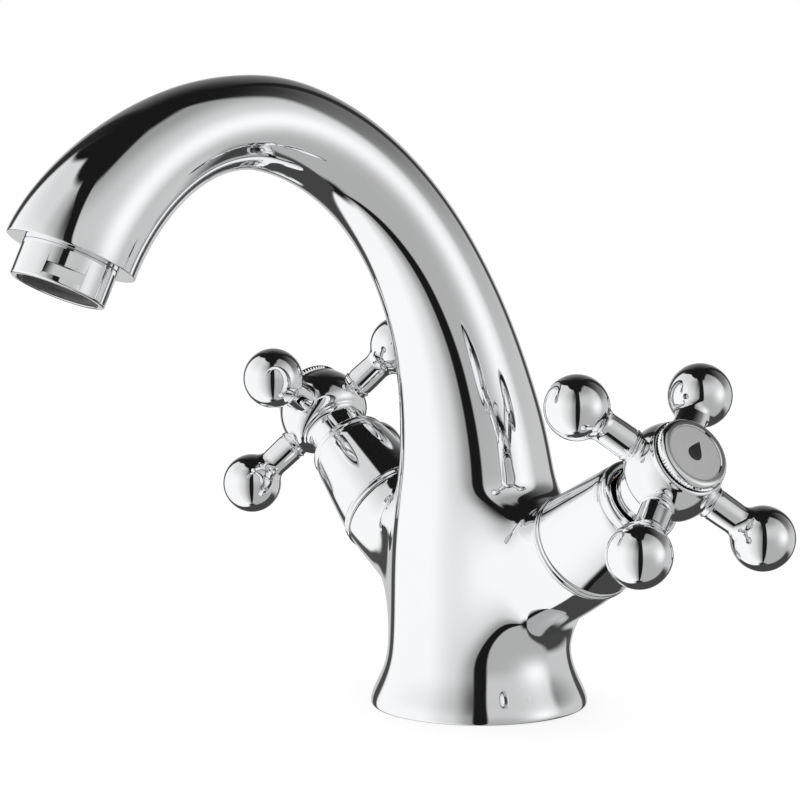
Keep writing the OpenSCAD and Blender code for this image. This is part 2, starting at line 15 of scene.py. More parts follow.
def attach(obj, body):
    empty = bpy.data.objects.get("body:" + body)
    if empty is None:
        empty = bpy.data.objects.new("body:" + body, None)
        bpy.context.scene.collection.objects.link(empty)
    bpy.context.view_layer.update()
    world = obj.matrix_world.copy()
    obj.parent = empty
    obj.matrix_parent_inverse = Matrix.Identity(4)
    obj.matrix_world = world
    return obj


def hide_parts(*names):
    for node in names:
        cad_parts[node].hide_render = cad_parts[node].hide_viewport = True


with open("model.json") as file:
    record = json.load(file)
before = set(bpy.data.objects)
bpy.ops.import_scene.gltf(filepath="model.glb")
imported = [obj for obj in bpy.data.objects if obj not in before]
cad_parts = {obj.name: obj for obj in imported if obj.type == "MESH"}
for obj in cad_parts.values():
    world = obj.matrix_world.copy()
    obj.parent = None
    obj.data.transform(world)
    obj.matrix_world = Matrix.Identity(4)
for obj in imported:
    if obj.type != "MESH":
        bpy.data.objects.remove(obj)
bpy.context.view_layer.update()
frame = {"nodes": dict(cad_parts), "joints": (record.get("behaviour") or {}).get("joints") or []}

# %% [markdown]
# ## Measures that several pieces share
# The joints of the working model say where each valve axis lies and which way it points.
# All lengths below are millimetres, counted along a valve axis from the point where the two
# axes cross, because that is how the pieces of a valve stack up on the bench.

# %% Shared measures
MM = 0.001
HANDLE_REACH = 81.4
ARM_LEN = 44.4
BONNET_END = 69.8
HUB_TOP = HANDLE_REACH + 7.7
CAP_TOP = HUB_TOP + 2.5
TURN = {"hot": 33, "cold": 45}
VALVE_TILT = math.radians(35)
PIVOT = Vector((0, 1.9, 17.5))
SIDE = {"hot": -1, "cold": 1}


def valve_matrix(side):
    """Takes a piece from the bench, upright on the Z axis, to its place on a valve axis."""
    axis = Vector((SIDE[side] * math.cos(VALVE_TILT), 0, math.sin(VALVE_TILT)))
    across = Vector((0, 1, 0)).cross(axis)
    turn = Matrix((across, Vector((0, 1, 0)), axis)).transposed().to_4x4()
    return Matrix.Translation(PIVOT * MM) @ turn


for joint in frame["joints"]:
    side = joint["child"].split("_")[0]
    hub = valve_matrix(side) @ Vector((0, 0, HANDLE_REACH * MM))
    gap = (hub - Vector(joint["pos_m"])).length
    print(f"{side} hub centre is {gap * 1000:.3f} mm from its joint")

# %% [markdown]
# ## Small helpers for the workbench
# Operators act on whatever is selected, so every step starts from nothing selected. The other
# helpers pick edges or faces by a rule, apply a modifier, close a piece with its bevels and its
# smooth shading, move it to its place, copy it, and throw it away.

# %% Workbench helpers
def clear_selection():
    """Object mode, with nothing selected."""
    if bpy.context.mode != "OBJECT":
        bpy.ops.object.mode_set(mode="OBJECT")
    bpy.ops.object.select_all(action="DESELECT")


def activate(piece):
    """Makes one piece the only one that operators act on."""
    clear_selection()
    piece.select_set(True)
    bpy.context.view_layer.objects.active = piece


def pick(piece, edges=None, faces=None):
    """Selects the edges or faces that a rule accepts, and returns to edit mode."""
    bpy.ops.object.mode_set(mode="OBJECT")
    mesh = piece.data
    for part in (mesh.vertices, mesh.edges, mesh.polygons):
        part.foreach_set("select", [False] * len(part))
    for group, rule in ((mesh.edges, edges), (mesh.polygons, faces)):
        if rule:
            for item in group:
                item.select = bool(rule(item))
    bpy.ops.object.mode_set(mode="EDIT")
    bpy.ops.mesh.select_mode(type="FACE" if faces else "EDGE")


def apply_modifier(piece, kind, **settings):
    """Adds one modifier, sets it and applies it."""
    activate(piece)
    modifier = piece.modifiers.new(kind.title(), kind)
    for name, value in settings.items():
        setattr(modifier, name, value)
    bpy.ops.object.modifier_apply(modifier=modifier.name)


def finish_edges(piece, width, angle=30, segments=3):
    """Rounds the hard edges, then shades the piece smooth and keeps its flats flat."""
    if width:
        apply_modifier(piece, "BEVEL", width=width * MM, segments=segments, limit_method="ANGLE",
                       angle_limit=math.radians(angle), harden_normals=False)
    activate(piece)
    bpy.ops.object.shade_smooth_by_angle(angle=math.radians(50))
    apply_modifier(piece, "WEIGHTED_NORMAL", keep_sharp=True, weight=100)


def place(piece, matrix):
    """Moves a piece from the bench to its place, and leaves its object at the origin."""
    piece.matrix_world = matrix
    activate(piece)
    bpy.ops.object.transform_apply(location=True, rotation=True, scale=True)


def duplicate(piece, name):
    """A copy of a piece, with its own mesh."""
    activate(piece)
    bpy.ops.object.duplicate()
    copy = bpy.context.object
    copy.name = copy.data.name = name
    return copy


def discard(*pieces):
    """Throws away masters and tools that have done their work."""
    for piece in pieces:
        activate(piece)
        bpy.ops.object.delete()


def arc(centre, radius, start, end, steps):
    """Points of a circular arc, from one angle to another in degrees."""
    angles = [math.radians(start + (end - start) * k / steps) for k in range(steps + 1)]
    return [(centre[0] + radius * math.cos(a), centre[1] + radius * math.sin(a)) for a in angles]


# %% [markdown]
# ## A lathe
# Bonnets, hubs, ball arms and collars are turned parts. On the bench a lathe cuts one outline
# all the way round, and Blender's spin does the same: a single point is extruded along the
# outline, and the line is spun once about the Z axis. That keeps every ring exactly round,
# which a mirror finish needs.

# %% The lathe
def turned(name, outline, closed=False, steps=96):
    """Turns an outline of (radius, height) points in millimetres about the Z axis."""
    points = [Vector((r, 0, z)) * MM for r, z in outline]
    if closed:
        points.append(points[0])
    clear_selection()
    bpy.ops.mesh.primitive_plane_add(size=MM, location=points[0])
    piece = bpy.context.object
    piece.name = piece.data.name = name
    bpy.ops.object.transform_apply(location=True)
    bpy.ops.object.mode_set(mode="EDIT")
    bpy.ops.mesh.select_mode(type="VERT")
    bpy.ops.mesh.select_all(action="SELECT")
    bpy.ops.mesh.merge(type="CENTER")
    for here, there in zip(points, points[1:]):
        bpy.ops.mesh.extrude_region_move(TRANSFORM_OT_translate={"value": there - here})
    bpy.ops.mesh.select_all(action="SELECT")
    bpy.ops.mesh.spin(steps=steps, angle=2 * math.pi, center=(0, 0, 0), axis=(0, 0, 1))
    bpy.ops.mesh.select_all(action="SELECT")
    bpy.ops.mesh.remove_doubles(threshold=0.002 * MM)
    bpy.ops.mesh.normals_make_consistent(inside=False)
    bpy.ops.object.mode_set(mode="OBJECT")
    print(f"{name}: {len(piece.data.vertices)} points turned from {len(outline)}")
    return piece


# %% [markdown]
# ## A shader bench
# Each finish is a small node tree. Shader maths is easier to read as arithmetic, so one class
# wraps a socket and turns +, -, * and powers into Math nodes. Every other node is made by one
# method that sets its options first and then its inputs.

# %% Shader helpers
class Value:
    """A number that varies over a surface, written in arithmetic."""

    def __init__(self, finish, socket):
        self.finish, self.socket = finish, socket

    def math(self, operation, *values, clamp=False):
        node = self.finish.node("ShaderNodeMath", {"operation": operation, "use_clamp": clamp},
                                dict(enumerate(values)))
        return Value(self.finish, node.outputs[0])

    def __add__(self, other):
        return self.math("ADD", self, other)

    def __sub__(self, other):
        return self.math("SUBTRACT", self, other)

    def __rsub__(self, other):
        return self.math("SUBTRACT", other, self)

    def __mul__(self, other):
        return self.math("MULTIPLY", self, other)

    def __pow__(self, other):
        return self.math("POWER", self, other)

    def step(self, low, high):
        """0 below low and 1 above high, with a smooth change between."""
        node = self.finish.node("ShaderNodeMapRange", {"interpolation_type": "SMOOTHSTEP"},
                                {"Value": self, "From Min": low, "From Max": high})
        return Value(self.finish, node.outputs["Result"])

    __radd__ = __add__
    __rmul__ = __mul__


class Finish:
    """A node tree that is built by adding nodes to it."""

    def __init__(self, owner):
        owner.use_nodes = True
        self.tree = owner.node_tree
        self.tree.nodes.clear()

    def node(self, kind, settings=None, inputs=None):
        """Adds a node, sets its options, and fills its inputs with values or links."""
        node = self.tree.nodes.new(kind)
        for name, value in (settings or {}).items():
            setattr(node, name, value)
        for name, value in (inputs or {}).items():
            socket = value.socket if isinstance(value, Value) else value
            if isinstance(socket, bpy.types.NodeSocket):
                self.tree.links.new(socket, node.inputs[name])
            else:
                node.inputs[name].default_value = value
        return node

    def place_on(self, matrix=None):
        """Object coordinates in metres, or those of a valve standing upright on the bench."""
        coords = self.node("ShaderNodeTexCoord").outputs["Object"]
        if matrix is None:
            return coords
        angles = matrix.inverted().to_euler()
        offset = matrix.inverted().translation
        return self.node("ShaderNodeMapping", {"vector_type": "POINT"},
                         {"Vector": coords, "Location": offset, "Rotation": angles}).outputs[0]

    def noise(self, coords, scale, detail=2.0, rough=0.5):
        """Soft random variation from 0 to 1."""
        node = self.node("ShaderNodeTexNoise", None,
                         {"Vector": coords, "Scale": scale, "Detail": detail, "Roughness": rough})
        return Value(self, node.outputs["Factor" if "Factor" in node.outputs else "Fac"])

    def blend(self, factor, low, high):
        """A colour between two colours."""
        node = self.node("ShaderNodeMix", {"data_type": "RGBA"},
                         {"Factor": factor, 6: (*low, 1), 7: (*high, 1)})
        return node.outputs[2]

    def bump(self, height, distance, strength):
        """A Normal from a height, in metres."""
        node = self.node("ShaderNodeBump", None,
                         {"Height": height, "Distance": distance, "Strength": strength})
        return node.outputs["Normal"]

    def surface(self, color, roughness, metallic=0.0, normal=None, **constants):
        """The shader itself, linked to the output."""
        inputs = {"Base Color": color, "Roughness": roughness, "Metallic": metallic, **constants}
        if normal:
            inputs["Normal"] = normal
        shader = self.node("ShaderNodeBsdfPrincipled", None, inputs)
        self.node("ShaderNodeOutputMaterial", None, {"Surface": shader.outputs[0]})


def new_finish(name):
    """A new material and the bench for its nodes."""
    material = bpy.data.materials.new(name)
    return material, Finish(material)


def ring_lines(finish, coords, per_mm):
    """Fine turning marks: a height that varies quickly along Z and with the radius."""
    stretched = finish.node("ShaderNodeMapping", {"vector_type": "POINT"},
                            {"Vector": coords, "Scale": (30, 30, 1000 * per_mm)}).outputs[0]
    return finish.noise(stretched, 1.0, 3.0, 0.705)


# %% [markdown]
# ## Polished chrome
# Chrome plate over buffed brass is almost a perfect mirror. What keeps it from looking like a
# computer mirror is very slight: the buffing wheel leaves broad soft waves, a faint haze in the
# roughness and hair-fine wiping marks that show only in the highlights.

# %% Chrome
def polished_chrome(name, tint=(0.93, 0.935, 0.945)):
    material, bench = new_finish(name)
    coords = bench.place_on()
    haze = bench.noise(coords, 28.0, 3.0)
    drawn_out = bench.node("ShaderNodeMapping", None, {
        "Vector": coords, "Scale": (900, 900, 90), "Rotation": (0.4, 0.7, 0.2)}).outputs[0]
    marks = bench.noise(drawn_out, 1.0, 4.0, 0.7).step(0.60, 0.78)
    roughness = 0.022 + haze.step(0.35, 0.75) * 0.02 + marks * 0.02
    darker = tuple(c * 0.975 for c in tint)
    color = bench.blend(haze.step(0.3, 0.8), tint, darker)
    waves = bench.noise(coords, 70.0, 1.0)
    normal = bench.bump(waves, 0.00002, 0.25)
    bench.surface(color, roughness, 1.0, normal)
    return material


chrome = polished_chrome("polished_chrome")

# %% [markdown]
# ## The other finishes
# The valves hide turned brass, rubber, ceramic, acetal and stainless steel. Each has its own
# scale of detail: turning marks on the brass, a fine grain on the rubber, cloudy tone in the
# ceramic, flow marks in the plastic and a rolled grain on the steel.

# %% Brass, rubber, ceramic, plastic and steel
def machined_brass(name, matrix):
    material, bench = new_finish(name)
    coords = bench.place_on(matrix)
    lines = ring_lines(bench, coords, 9.0)
    stain = bench.noise(bench.place_on(), 160.0, 4.0)
    color = bench.blend(stain.step(0.35, 0.7), (0.80, 0.61, 0.30), (0.66, 0.47, 0.21))
    bench.surface(color, 0.20 + lines * 0.12 + stain * 0.06, 1.0, bench.bump(lines, 0.00006, 0.5))
    return material


def black_rubber(name):
    material, bench = new_finish(name)
    coords = bench.place_on()
    grain = bench.noise(coords, 2600.0, 2.0)
    bloom = bench.noise(coords, 90.0, 3.0)
    color = bench.blend(bloom.step(0.4, 0.8), (0.022, 0.022, 0.024), (0.05, 0.05, 0.052))
    bench.surface(color, 0.52 + bloom * 0.2, 0.0, bench.bump(grain, 0.00005, 0.5))
    return material


def valve_ceramic(name):
    material, bench = new_finish(name)
    coords = bench.place_on()
    cloud = bench.noise(coords, 220.0, 4.0)
    lapped = bench.noise(coords, 4200.0, 1.0)
    color = bench.blend(cloud, (0.90, 0.89, 0.86), (0.82, 0.80, 0.75))
    bench.surface(color, 0.12 + cloud * 0.08, 0.0, bench.bump(lapped, 0.00001, 0.3))
    return material


def moulded_acetal(name, shade):
    material, bench = new_finish(name)
    coords = bench.place_on()
    flow = bench.noise(coords, 140.0, 3.0)
    grain = bench.noise(coords, 3000.0, 2.0)
    color = bench.blend(flow, (shade, shade, shade * 0.98), (shade * 0.9, shade * 0.9, shade * 0.88))
    bench.surface(color, 0.36 + flow * 0.1, 0.0, bench.bump(grain, 0.00002, 0.4))
    return material


def stainless(name, matrix=None, shade=0.62):
    material, bench = new_finish(name)
    coords = bench.place_on(matrix)
    lines = ring_lines(bench, coords, 12.0)
    tone = bench.noise(bench.place_on(), 300.0, 3.0)
    color = bench.blend(tone, (shade, shade, shade * 1.01), (shade * 0.85, shade * 0.86, shade * 0.88))
    bench.surface(color, 0.22 + lines * 0.14, 1.0, bench.bump(lines, 0.00003, 0.4))
    return material


def satin_index(name, matrix):
    material, bench = new_finish(name)
    coords = bench.place_on(matrix)
    across = bench.node("ShaderNodeVectorMath", {"operation": "MULTIPLY"}, {0: coords, 1: (1, 1, 0)})
    length = bench.node("ShaderNodeVectorMath", {"operation": "LENGTH"}, {0: across.outputs[0]})
    radius = Value(bench, length.outputs["Value"])
    outwards = bench.node("ShaderNodeCombineXYZ", None, {0: radius * 26000.0}).outputs[0]
    rings = bench.noise(outwards, 1.0, 2.0)
    cloud = bench.noise(bench.place_on(), 420.0, 2.0)
    color = bench.blend(rings * 0.6 + cloud * 0.4, (0.60, 0.60, 0.605), (0.50, 0.50, 0.505))
    bench.surface(color, 0.34 + rings * 0.12, 0.25, bench.bump(rings, 0.00002, 0.35))
    return material


def black_enamel(name):
    material, bench = new_finish(name)
    coords = bench.place_on()
    fill = bench.noise(coords, 900.0, 2.0)
    color = bench.blend(fill, (0.012, 0.012, 0.013), (0.03, 0.03, 0.032))
    bench.surface(color, 0.18 + fill * 0.1, 0.0, bench.bump(fill, 0.00002, 0.3))
    return material


rubber = black_rubber("black_rubber")
ceramic = valve_ceramic("valve_ceramic")
acetal = moulded_acetal("white_acetal", 0.86)
grey_acetal = moulded_acetal("grey_acetal", 0.10)
enamel = black_enamel("black_enamel")
brass = {side: machined_brass(f"machined_brass_{side}", valve_matrix(side)) for side in SIDE}
steel = {side: stainless(f"stainless_steel_{side}", valve_matrix(side)) for side in SIDE}
index_face = {side: satin_index(f"satin_index_{side}", valve_matrix(side)) for side in SIDE}
print("finishes:", len(bpy.data.materials))


def dress(piece, material, body):
    """Gives a piece its finish and the body it rides on."""
    piece.data.materials.clear()
    piece.data.materials.append(material)
    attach(piece, body)


# %% [markdown]
# ## The line of the spout
# The swan neck is one smooth line in the middle plane of the tap. Two cubic curves describe it
# well: one climbs out of the torso and lies down into the top of the arch, the other falls from
# there into the outlet. The tube narrows towards the top and swells again to the rim.

# %% The spout's centreline
TORSO_TOP = 38.0
APEX = Vector((0, -68.5, 143.2))
RIM = Vector((0, -114.7, 114.7))
OUTLET_TILT = math.radians(25.5)
OUT = Vector((0, -math.sin(OUTLET_TILT), -math.cos(OUTLET_TILT)))
CLIMB = [Vector((0, 0, TORSO_TOP)), Vector((0, 0, TORSO_TOP + 77)), APEX + Vector((0, 25.8, 0)), APEX]
FALL = [APEX, APEX - Vector((0, 24.1, 0)), RIM - OUT * 9.9, RIM]


def cubic(a, b, c, d, t):
    """A point of a cubic curve."""
    return a * (1 - t) ** 3 + b * 3 * (1 - t) ** 2 * t + c * 3 * (1 - t) * t * t + d * t ** 3


def cubic_direction(a, b, c, d, t):
    """The direction of the same curve."""
    return ((b - a) * (1 - t) ** 2 + (c - b) * 2 * (1 - t) * t + (d - c) * t * t).normalized()


def spout_station(s):
    """Centre, direction and radius of the tube: 0 at the torso, 1 at the top, 2 at the rim."""
    line, t = (CLIMB, s) if s <= 1 else (FALL, s - 1)
    radii = (22.3, 8.9, 12.3, 10.7) if s <= 1 else (10.7, 10.7, 15.05, 15.05)
    return cubic(*line, t), cubic_direction(*line, t), cubic(*radii, t)


# %% [markdown]
# ## The cast body
# The casting is one skin with soft blends, so it is modelled as a coarse cage and smoothed by
# subdivision. Circles of sixteen points are stacked up the foot, the torso and the spout, and
# each is bridged to the one before. A booleaned tube would leave a hard line where it meets the
# torso; the cage gives the blend that a foundry pattern has.

# %% The body's cage
SIDES = 16
GROW = 6 / (4 + 2 * math.cos(2 * math.pi / SIDES))


def add_ring(centre, radius, turn, stretch=1.0):
    """A circle of the cage. It is drawn a little large, because smoothing pulls it in."""
    bpy.ops.mesh.primitive_circle_add(vertices=SIDES, radius=radius * GROW * MM,
                                      location=Vector(centre) * MM, rotation=turn)
    if stretch != 1.0:
        bpy.ops.transform.resize(value=(1, 1, stretch), center_override=Vector(centre) * MM)


def bridge_rings(piece, first, second):
    """Joins two rings, each given as a range of point numbers, with a band of faces."""
    first, second = set(first), set(second)
    pick(piece, edges=lambda e: set(e.vertices) <= first or set(e.vertices) <= second)
    bpy.ops.mesh.bridge_edge_loops()


# Heights and radii of the rings of the foot and the torso, then stations along the spout.
FOOT = [(0.0, 26.25), (0.5, 26.6), (2.6, 26.25), (6.0, 24.55), (10.0, 22.85)]
TORSO = [(14.5, 22.15), (24.0, 21.9), (34.0, 21.85), (44.5, 21.15), (54.0, 19.45), (58.5, 18.7)]
SPOUT = [0.13, 0.18, 0.25, 0.32, 0.40, 0.48, 0.57, 0.66, 0.75, 0.84, 0.92, 1.0,
         1.12, 1.24, 1.37, 1.50, 1.63, 1.76, 1.87, 1.955, 1.99, 2.0]

clear_selection()
bpy.ops.mesh.primitive_circle_add(vertices=SIDES, radius=FOOT[0][1] * GROW * MM)
body = bpy.context.object
body.name = body.data.name = "body_casting"
bpy.ops.object.mode_set(mode="EDIT")
for height, radius in FOOT[1:] + TORSO:
    forward = 0.9 / 13 * max(0.0, height - 43)
    add_ring((0, -forward, height), radius, (0, 0, 0))
for s in SPOUT:
    centre, along, radius = spout_station(s)
    add_ring(centre, radius, (math.atan2(-along.y, along.z), 0, 0))
bpy.ops.object.mode_set(mode="OBJECT")
rings = len(body.data.vertices) // SIDES
for k in range(rings - 1):
    bridge_rings(body, range(k * SIDES, (k + 1) * SIDES), range((k + 1) * SIDES, (k + 2) * SIDES))
bpy.ops.object.mode_set(mode="OBJECT")
print("trunk cage:", rings, "rings,", len(body.data.polygons), "faces")

# %% [markdown]
# A valve arm leaves the torso in a wide soft fillet. Four by four faces are taken out of each
# side of the torso, and the holes are bridged to rings that start upright, like the torso, and
# end square to the valve's axis. The first rings are broader and higher, which fills the crotch.

# %% The arms grow out of the torso
ARM_ROOT_R = 12.5
ARM_END_R = 13.4
LOW, HIGH = TORSO[0][0], TORSO[4][0]
# Reach along the valve's axis, lie, breadth and lift of each ring, as arm_ring takes them.
ARM_RINGS = [(29.0, 1.0, 1.15, 2.2), (34.5, 0.6, 1.05, 0.9), (39.8, 0.2, 1, 0.1),
             (43.5, 0, 1, 0), (44.25, 0, 1, 0)]


def open_edges():
    """The edges of the cage that belong to one face only."""
    counts = {}
    for face in body.data.polygons:
        for key in face.edge_keys:
            counts[key] = counts.get(key, 0) + 1
    return {key for key, count in counts.items() if count == 1}


def arm_ring(side, reach, lie, broad, up):
    """One ring of a valve arm. lie is 1 where it stands upright and 0 where it is square.
    broad widens it from front to back and up lifts it off the valve's axis."""
    axis = Vector((SIDE[side] * math.cos(VALVE_TILT), 0, math.sin(VALVE_TILT)))
    radius = ARM_ROOT_R + (ARM_END_R - ARM_ROOT_R) * reach / ARM_LEN
    tip = SIDE[side] * (math.pi / 2 - VALVE_TILT * (1 - lie))
    centre = PIVOT + axis * reach + Vector((0, 0, up))
    add_ring(centre, radius, (0, tip, 0), 1 / math.cos(VALVE_TILT * lie))
    bpy.ops.transform.resize(value=(1, broad, 1), center_override=centre * MM)


def patch(side):
    """The rule for the faces of the torso that make room for an arm."""
    def rule(face):
        c = face.center / MM
        facing = SIDE[side] * c.x > abs(c.y + 0.2) and abs(face.normal.z) < 0.6
        return LOW < c.z < HIGH and facing
    return rule


for side in SIDE:
    activate(body)
    pick(body, faces=patch(side))
    bpy.ops.mesh.delete(type="FACE")
    bpy.ops.object.mode_set(mode="OBJECT")
    rim = {v for key in open_edges() for v in key
           if LOW - 1 < body.data.vertices[v].co.z / MM < HIGH + 1
           and SIDE[side] * body.data.vertices[v].co.x > 0.005}
    print(side, "opening has", len(rim), "points")
    before = len(body.data.vertices)
    bpy.ops.object.mode_set(mode="EDIT")
    for reach, lie, broad, up in ARM_RINGS:
        arm_ring(side, reach, lie, broad, up)
    bpy.ops.object.mode_set(mode="OBJECT")
    bridge_rings(body, rim, range(before, before + SIDES))
    for k in range(len(ARM_RINGS) - 1):
        start = before + k * SIDES
        bridge_rings(body, range(start, start + SIDES), range(start + SIDES, start + 2 * SIDES))
bpy.ops.object.mode_set(mode="OBJECT")
print("cage with arms:", len(body.data.polygons), "faces")

# %% [markdown]
# The ends are closed before smoothing. Each end ring is drawn in twice more: a hair inside the
# rim, so that the rim stays crisp, and again close to the axis, where the last small hole is
# filled. The subdivision then gives an even, flowing skin.

# %% Close the ends and smooth the casting
def close_end(inside, centre, shrink=(0.97, 0.45)):
    """Draws an open end in towards its centre and fills the small hole that is left."""
    rims = open_edges()
    points = body.data.vertices
    activate(body)
    pick(body, edges=lambda e: tuple(sorted(e.vertices)) in rims
         and all(inside(points[v].co / MM) for v in e.vertices))
    for size in shrink:
        bpy.ops.mesh.extrude_region_move(TRANSFORM_OT_translate={"value": (0, 0, 0)})
        bpy.ops.transform.resize(value=(size, size, size), center_override=Vector(centre) * MM)
    bpy.ops.mesh.fill()
    bpy.ops.object.mode_set(mode="OBJECT")


close_end(lambda p: p.z < 1, (0, 0, 0))
close_end(lambda p: p.y < -90, RIM)
for side in SIDE:
    close_end(lambda p: p.x * SIDE[side] > 30, valve_matrix(side) @ Vector((0, 0, ARM_LEN * MM)) / MM)
activate(body)
bpy.ops.object.mode_set(mode="EDIT")
bpy.ops.mesh.select_all(action="SELECT")
bpy.ops.mesh.remove_doubles(threshold=0.001 * MM)
bpy.ops.mesh.normals_make_consistent(inside=False)
bpy.ops.object.mode_set(mode="OBJECT")
print("cage:", len(body.data.polygons), "faces; sides per face:",
      {n: sum(len(f.vertices) == n for f in body.data.polygons) for n in (3, 4, 5, 6)})

# %% [markdown]
# Three rounds of Catmull-Clark subdivision turn the cage into the polished skin. On the real
# casting the holes are cut after casting, so here they are cut after smoothing: the valve
# pockets with their tapped mouths, the outlet mouth and the start of the water passage, the
# recess for the gasket, the two hose inlets and the stud hole.

# %% Smooth the casting and cut its holes
def cutter(radius, low, high, matrix=Matrix.Identity(4), x=0.0, y=0.0, sides=64):
    """A cylinder between two heights in millimetres, put in place to be cut away."""
    bpy.ops.mesh.primitive_cylinder_add(vertices=sides, radius=radius * MM,
                                        depth=(high - low) * MM,
                                        location=Vector((x, y, (low + high) / 2)) * MM)
    tool = bpy.context.object
    bpy.ops.object.transform_apply(location=True)
    place(tool, matrix)
    return tool


def cut(piece, tools):
    """Cuts the tools out of a piece, one by one, and throws the tools away."""
    for tool in tools:
        apply_modifier(piece, "BOOLEAN", operation="DIFFERENCE", object=tool, solver="EXACT")
        discard(tool)


OUTLET = Matrix.Translation(RIM * MM) @ Matrix.Rotation(math.pi - OUTLET_TILT, 4, "X")
apply_modifier(body, "SUBSURF", levels=3)
tools = []
for side in SIDE:
    valve_pocket = cutter(9.6, 24.4, 40, valve_matrix(side))
    pocket_mouth = cutter(10.55, 37.4, ARM_LEN + 1, valve_matrix(side))
    hose_inlet = cutter(4.5, -1, 12, x=8 * SIDE[side], y=PIVOT.y, sides=48)
    tools += [valve_pocket, pocket_mouth, hose_inlet]
stud_hole = cutter(3.4, -1, 14, y=13, sides=48)
outlet_mouth = cutter(10.05, -7.7, 1, OUTLET)
water_way = cutter(8.2, -20, -7, OUTLET)
tools += [stud_hole, outlet_mouth, water_way]
groove = [(19.35, -1), (23.45, -1), (23.45, 2.0), (19.35, 2.0)]
tools.append(turned("gasket_cutter", groove, closed=True))
cut(body, tools)
activate(body)
bpy.ops.object.shade_smooth_by_angle(angle=math.radians(40))
dress(body, chrome, "root")
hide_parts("body")
print("casting:", len(body.data.polygons), "faces")

# %% [markdown]
# ## The bonnets
# A bonnet is a turned cover that hides the brass cartridge. It has a small bead where it meets
# the arm, a long plain flank, a rolled edge at the outer end, and a well round the spindle.

# %% Turn the bonnets
flank = [(13.28, 46.9), (12.88, 50.0), (12.3, 54.2), (11.68, 58.6), (11.1, 62.6), (10.75, 65.3)]
bonnet_outline = (
    [(11.8, ARM_LEN + 0.03), (13.2, ARM_LEN + 0.03)] + arc((13.22, 45.0), 0.55, -75, 55, 7)
    + [(13.38, 45.62)] + arc((13.2, 46.2), 0.5, -45, 70, 7) + flank
    + [(10.45, 66.7), (10.1, 66.9), (9.95, 67.2)] + arc((8.95, 68.55), 1.3, -40, 90, 12)
    + [(8.6, BONNET_END), (8.2, 69.4), (8.05, 68.7), (8.05, 61.4), (7.65, 61.4),
       (7.65, 56.9), (10.3, 56.9)])
master = turned("bonnet", bonnet_outline, closed=True, steps=128)
finish_edges(master, 0.0)
for side in SIDE:
    bonnet = duplicate(master, f"{side}_bonnet_shell")
    place(bonnet, valve_matrix(side))
    dress(bonnet, chrome, "root")
    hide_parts(f"{side}_bonnet")
discard(master)

# %% [markdown]
# ## The handle hubs
# A hub is a small barrel on a neck. It is bored from below for the splined spindle and from
# above for the screw and the cap, and its rounded flank takes the four ball arms. The neck
# nearly fills the bonnet's well, so that nothing of the brass shows.

# %% Turn the hubs
barrel = arc((-0.6, HANDLE_REACH + 0.6), 12.0, -14, 31.4, 16)
hub_outline = (
    [(4.6, 63.95), (7.25, 63.95), (7.5, 64.25)] + arc((9.0, 75.0), 1.5, 180, 105, 7)
    + arc((7.55, 79.97), 3.6, -72, -18, 8) + barrel + arc((8.9, HUB_TOP - 0.8), 0.8, 30, 90, 5)
    + [(6.6, HUB_TOP), (6.6, 84.2), (2.3, 84.2), (2.3, 82.2), (4.6, 82.2)])
master = turned("hub", hub_outline, closed=True, steps=128)
finish_edges(master, 0.0)
for side in SIDE:
    hub = duplicate(master, f"{side}_hub_barrel")
    place(hub, valve_matrix(side))
    dress(hub, chrome, f"{side}_handle")
    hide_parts(f"{side}_hub")
discard(master)

# %% [markdown]
# ## The ball arms
# Each handle has four arms, and each arm is one turned piece: a stub that is pressed into the
# hub, a fine collar and groove that hide the joint, a plain rod, and a ball that the rod flares
# into.

# %% Turn the ball arms
BALL_AT = 26.5
BALL_R = 7.6
FLARE_R = 3.0
FLARE_X = 3.7 + FLARE_R
flare_at = BALL_AT - math.sqrt((BALL_R + FLARE_R) ** 2 - FLARE_X ** 2)
meet = math.degrees(math.atan2(BALL_AT - flare_at, FLARE_X))
arm_outline = (
    [(0, 6), (2.4, 6), (2.4, 9), (3.7, 9), (3.85, 11.1)] + arc((3.75, 11.6), 0.28, -60, 60, 5)
    + [(3.62, 12.0), (3.62, 12.25), (3.82, 12.4), (3.8, 15.2)]
    + arc((FLARE_X, flare_at), FLARE_R, 180, 180 - meet, 10)
    + arc((0, BALL_AT), BALL_R, 3 - meet, 90, 40))
master = turned("ball_arm", arm_outline, steps=96)
finish_edges(master, 0.0)
for side in SIDE:
    for number in range(4):
        arm = duplicate(master, f"{side}_ball_arm_{number + 1}")
        turn = Matrix.Rotation(math.radians(TURN[side] + 90 * number), 4, "Z")
        lie = Matrix.Rotation(math.radians(90), 4, "Y")
        rise = Matrix.Translation((0, 0, HANDLE_REACH * MM))
        place(arm, valve_matrix(side) @ rise @ turn @ lie)
        dress(arm, chrome, f"{side}_handle")
        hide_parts(f"{side}_arm_{number + 1}")
discard(master)

# %% [markdown]
# ## The caps
# A cap is pressed into the hub over the screw. Its edge is knurled so that it can be gripped,
# its bezel is rounded, and a thin groove parts it from the hub. The knurl is made by drawing
# every second point of the plain band in by half a millimetre.

# %% Turn and knurl the caps
TEETH = 72
TOOTH_DRAW = 0.945
cap_outline = (
    [(0, 89.8), (5.4, 89.8), (5.4, 86.7), (6.55, 86.7), (6.55, HUB_TOP + 0.02),
     (7.7, HUB_TOP + 0.02), (7.7, HUB_TOP + 0.45), (8.75, HUB_TOP + 0.4), (9.0, HUB_TOP + 0.6),
     (9.0, HUB_TOP + 1.45), (8.72, HUB_TOP + 1.6)] + arc((7.7, CAP_TOP - 1.1), 1.1, -5, 90, 11)
    + [(7.1, CAP_TOP), (6.9, CAP_TOP - 0.25), (6.9, 90.6), (0, 90.6)])
cap = turned("cap", cap_outline, steps=2 * TEETH)


